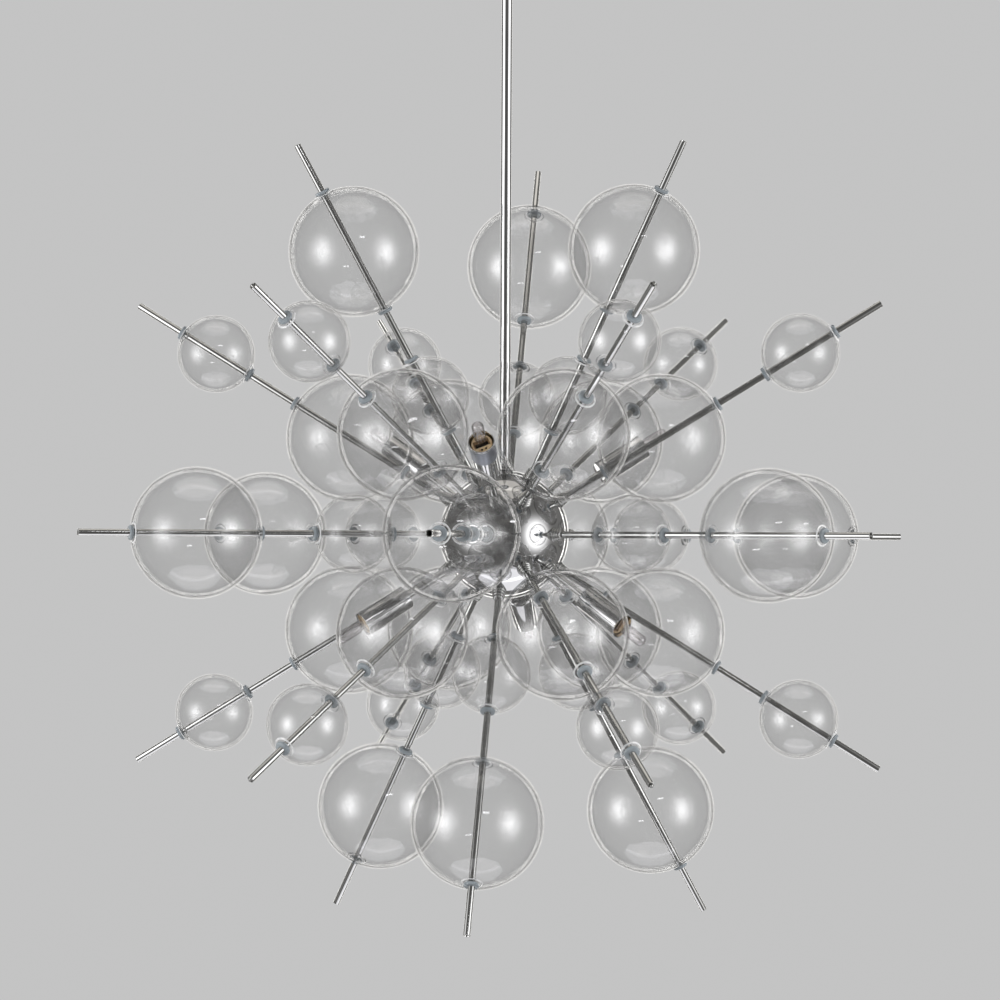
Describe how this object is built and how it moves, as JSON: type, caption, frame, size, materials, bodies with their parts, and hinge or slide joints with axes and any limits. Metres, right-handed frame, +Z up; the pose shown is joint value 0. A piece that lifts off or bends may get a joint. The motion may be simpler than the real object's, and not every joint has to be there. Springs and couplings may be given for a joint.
{
  "type": "sputnik chandelier",
  "caption": "Ceiling light: chrome rods with clear glass globes and small lamps radiate from a chrome ball on a downrod that swivels to hang plumb.",
  "frame": {"origin": "middle of the crossbar's top face, where the light is screwed to the ceiling", "axes": "+Z up into the ceiling, -Y towards the front, the crossbar runs along X"},
  "size_m": [0.9568, 1.0126, 1.1955],
  "materials": {
    "chrome": "polished",
    "rod_chrome": "polished",
    "lamp_chrome": "polished",
    "zinc_steel": "zinc plated",
    "silicone": "translucent silicone",
    "ceramic": "unglazed ceramic",
    "socket_dark": "matte",
    "bulb_glass": "clear",
    "bulb_wire": "fine wire",
    "clear_glass": "clear, blown"
  },
  "bodies": {
    "ceiling_fixing": {"ceiling_crossbar": "zinc_steel", "canopy": "chrome"},
    "swivel_yoke": {"swivel_yoke": "zinc_steel"},
    "swivel_cross": {"swivel_cross": "zinc_steel"},
    "pendant": {"downrod": "chrome", "hub_ball": "chrome", "globe_rod_top_1": "rod_chrome", "globe_rod_top_2": "rod_chrome", "globe_rod_top_3": "rod_chrome", "globe_rod_upper_1": "rod_chrome", "globe_rod_upper_2": "rod_chrome", "globe_rod_upper_3": "rod_chrome", "globe_rod_upper_4": "rod_chrome", "globe_rod_upper_5": "rod_chrome", "globe_rod_upper_6": "rod_chrome", "globe_rod_level_1": "rod_chrome", "globe_rod_level_2": "rod_chrome", "globe_rod_level_3": "rod_chrome", "globe_rod_level_4": "rod_chrome", "globe_rod_level_5": "rod_chrome", "globe_rod_level_6": "rod_chrome", "globe_rod_lower_1": "rod_chrome", "globe_rod_lower_2": "rod_chrome", "globe_rod_lower_3": "rod_chrome", "globe_rod_lower_4": "rod_chrome", "globe_rod_lower_5": "rod_chrome", "globe_rod_lower_6": "rod_chrome", "globe_rod_bottom_1": "rod_chrome", "globe_rod_bottom_2": "rod_chrome", "globe_rod_bottom_3": "rod_chrome", "large_globe_top_1": "clear_glass", "large_globe_top_2": "clear_glass", "large_globe_top_3": "clear_glass", "large_globe_upper_1": "clear_glass", "large_globe_upper_2": "clear_glass", "large_globe_upper_3": "clear_glass", "large_globe_upper_4": "clear_glass", "large_globe_upper_5": "clear_glass", "large_globe_upper_6": "clear_glass", "large_globe_level_1": "clear_glass", "large_globe_level_2": "clear_glass", "large_globe_level_3": "clear_glass", "large_globe_level_4": "clear_glass", "large_globe_level_5": "clear_glass", "large_globe_level_6": "clear_glass", "large_globe_lower_1": "clear_glass", "large_globe_lower_2": "clear_glass", "large_globe_lower_3": "clear_glass", "large_globe_lower_4": "clear_glass", "large_globe_lower_5": "clear_glass", "large_globe_lower_6": "clear_glass", "large_globe_bottom_1": "clear_glass", "large_globe_bottom_2": "clear_glass", "large_globe_bottom_3": "clear_glass", "lamp_upper_1": "lamp_chrome", "lamp_upper_2": "lamp_chrome", "lamp_upper_3": "lamp_chrome", "lamp_lower_1": "lamp_chrome", "lamp_lower_2": "lamp_chrome", "lamp_lower_3": "lamp_chrome"}
  },
  "joints": [
    {"name": "swivel_turn", "type": "hinge", "parent": "ceiling_fixing", "child": "swivel_yoke", "pos_m": [0, 0, -0.02844], "axis": [0, 0, 1], "range_deg": [-170, 170]},
    {"name": "swivel_rock", "type": "hinge", "parent": "swivel_yoke", "child": "swivel_cross", "pos_m": [0, 0, -0.02844], "axis": [1, 0, 0], "range_deg": [-20, 20]},
    {"name": "swivel_sway", "type": "hinge", "parent": "swivel_cross", "child": "pendant", "pos_m": [0, 0, -0.02844], "axis": [0, 1, 0], "range_deg": [-20, 20]}
  ]
}
